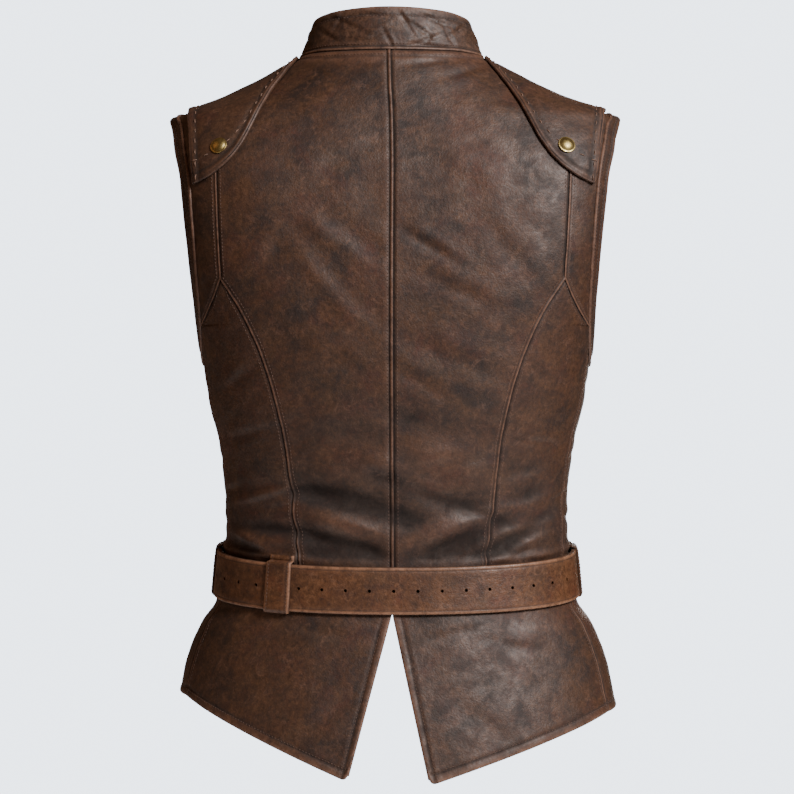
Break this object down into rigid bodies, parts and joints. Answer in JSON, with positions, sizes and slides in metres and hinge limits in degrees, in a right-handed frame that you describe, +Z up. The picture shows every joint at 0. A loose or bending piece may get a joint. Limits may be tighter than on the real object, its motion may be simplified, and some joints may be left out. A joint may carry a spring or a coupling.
{
  "type": "lace-up leather vest",
  "caption": "Fitted sleeveless leather vest with stand collar, snapped shoulder caps, laced front, split pointed skirt at the back and a buckled belt.",
  "frame": {"origin": "midway between the two points where the collar meets the shoulder lines, where the wearer's shoulders carry the vest", "axes": "+Z up, +X towards the wearer's left, +Y out of the back, so the front faces -Y"},
  "size_m": [0.4467, 0.2934, 0.742],
  "materials": {
    "vest_leather": "mottled dark brown, worn",
    "trim_leather": "dark brown, worn at the edges",
    "belt_leather": "mid brown, smooth and worn",
    "lace_leather": "dark brown, waxed",
    "old_brass": "antique, dull"
  },
  "bodies": {
    "root": {"arm_strip_left": "vest_leather", "arm_strip_right": "vest_leather", "armhole_band_left": "trim_leather", "armhole_band_right": "trim_leather", "back_left": "vest_leather", "back_right": "vest_leather", "belt": "belt_leather", "belt_loop_back": "belt_leather", "belt_loop_front": "trim_leather", "belt_loop_left": "trim_leather", "belt_loop_right": "trim_leather", "buckle_frame": "old_brass", "buckle_prong": "old_brass", "cap_snap_left": "old_brass", "cap_snap_right": "old_brass", "collar": "trim_leather", "eyelet_left_1": "old_brass", "eyelet_left_2": "old_brass", "eyelet_left_3": "old_brass", "eyelet_left_4": "old_brass", "eyelet_left_5": "old_brass", "eyelet_left_6": "old_brass", "eyelet_left_7": "old_brass", "eyelet_right_1": "old_brass", "eyelet_right_2": "old_brass", "eyelet_right_3": "old_brass", "eyelet_right_4": "old_brass", "eyelet_right_5": "old_brass", "eyelet_right_6": "old_brass", "eyelet_right_7": "old_brass", "front_left": "vest_leather", "front_right": "vest_leather", "lace": "lace_leather", "lace_knot_left": "lace_leather", "lace_knot_right": "lace_leather", "shoulder_cap_left": "trim_leather", "shoulder_cap_right": "trim_leather", "side_back_left": "vest_leather", "side_back_right": "vest_leather", "skirt_back_left": "vest_leather", "skirt_back_right": "vest_leather", "skirt_front_left": "vest_leather", "skirt_front_right": "vest_leather"}
  },
  "joints": []
}
